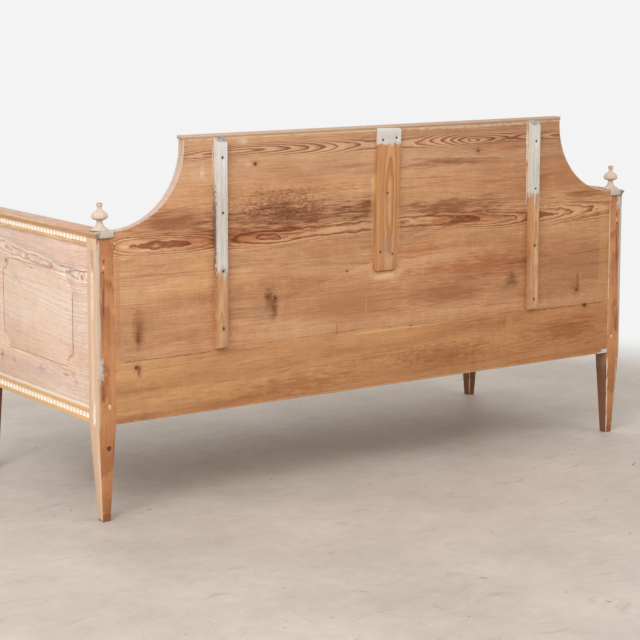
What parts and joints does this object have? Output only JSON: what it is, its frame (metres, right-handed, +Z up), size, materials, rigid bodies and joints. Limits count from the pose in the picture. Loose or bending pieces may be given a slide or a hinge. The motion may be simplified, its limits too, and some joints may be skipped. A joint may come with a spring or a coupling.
{
  "type": "swedish pull out bench bed",
  "caption": "Wooden sofa with panelled ends, turned finials and a hinged seat over a box of slats; its front rail slides out on legs and draws half of the slats along to make a bed.",
  "frame": {"origin": "on the floor under the middle of the whole bench, at the middle of its width and of its depth with the battens on the back and the ends of the arm caps counted in", "axes": "+X along the bench to its right hand end seen from the front, +Y towards the back, +Z up"},
  "size_m": [1.852, 0.753, 1.005],
  "materials": {
    "back_pine": "bare pine darkened to honey and orange brown",
    "limed_pine": "stripped pine with traces of lime and white paint in the grain",
    "golden_rail_pine": "stripped pine, white paint left in the flutes",
    "arm_cap_pine": "stripped pine, worn smooth",
    "turned_birch": "stripped turned wood with a chalky bloom",
    "batten_pine": "bare pine with remains of grey paint at the top",
    "frame_pine": "bare sawn pine",
    "lid_pine": "stripped pine, worn smooth",
    "wrought_iron": "dark wrought iron"
  },
  "bodies": {
    "frame": {"arm_cap_left": "arm_cap_pine", "arm_cap_right": "arm_cap_pine", "arm_rail_left": "golden_rail_pine", "arm_rail_right": "golden_rail_pine", "back_board_lower": "back_pine", "back_board_middle": "back_pine", "back_board_upper": "back_pine", "base_rail_left": "golden_rail_pine", "base_rail_right": "golden_rail_pine", "batten_nails": "wrought_iron", "centre_batten": "batten_pine", "cove_moulding_left": "limed_pine", "cove_moulding_right": "limed_pine", "crest_moulding": "limed_pine", "crest_strip": "back_pine", "end_panel_left": "limed_pine", "end_panel_right": "limed_pine", "finial_front_left": "turned_birch", "finial_front_right": "turned_birch", "finial_rear_left": "turned_birch", "finial_rear_right": "turned_birch", "fixed_slats": "frame_pine", "front_post_left": "limed_pine", "front_post_right": "limed_pine", "front_stretcher": "frame_pine", "hinge_pins": "wrought_iron", "hinge_strip_leaves": "wrought_iron", "lid_ledger_left": "frame_pine", "lid_ledger_right": "frame_pine", "rear_post_left": "limed_pine", "rear_post_right": "limed_pine", "seat_end_strip_left": "lid_pine", "seat_end_strip_right": "lid_pine", "seat_rear_strip": "lid_pine", "side_batten_left": "batten_pine", "side_batten_right": "batten_pine", "slat_ledger": "frame_pine", "tenon_pegs": "batten_pine"},
    "pull_out": {"apron_board": "limed_pine", "apron_rail": "golden_rail_pine", "pull_leg_right": "limed_pine", "pull_leg_left": "limed_pine", "slat_bearer": "frame_pine", "slat_stops": "frame_pine", "pull_slat_1": "frame_pine", "pull_slat_2": "frame_pine", "pull_slat_3": "frame_pine", "pull_slat_4": "frame_pine", "pull_slat_5": "frame_pine", "pull_slat_6": "frame_pine", "pull_slat_7": "frame_pine", "pull_slat_8": "frame_pine"},
    "seat_lid": {"lid_board_1": "lid_pine", "lid_board_2": "lid_pine", "lid_board_3": "lid_pine", "lid_batten_right": "lid_pine", "lid_batten_left": "lid_pine", "hinge_lid_leaves": "wrought_iron"}
  },
  "joints": [
    {"name": "bed_slide", "type": "slide", "parent": "frame", "child": "pull_out", "axis": [0, -1, 0], "range_m": [0, 0.585]},
    {"name": "lid_hinge", "type": "hinge", "parent": "frame", "child": "seat_lid", "pos_m": [0, 0.2955, 0.45], "axis": [-1, 0, 0], "range_deg": [0, 93]}
  ]
}
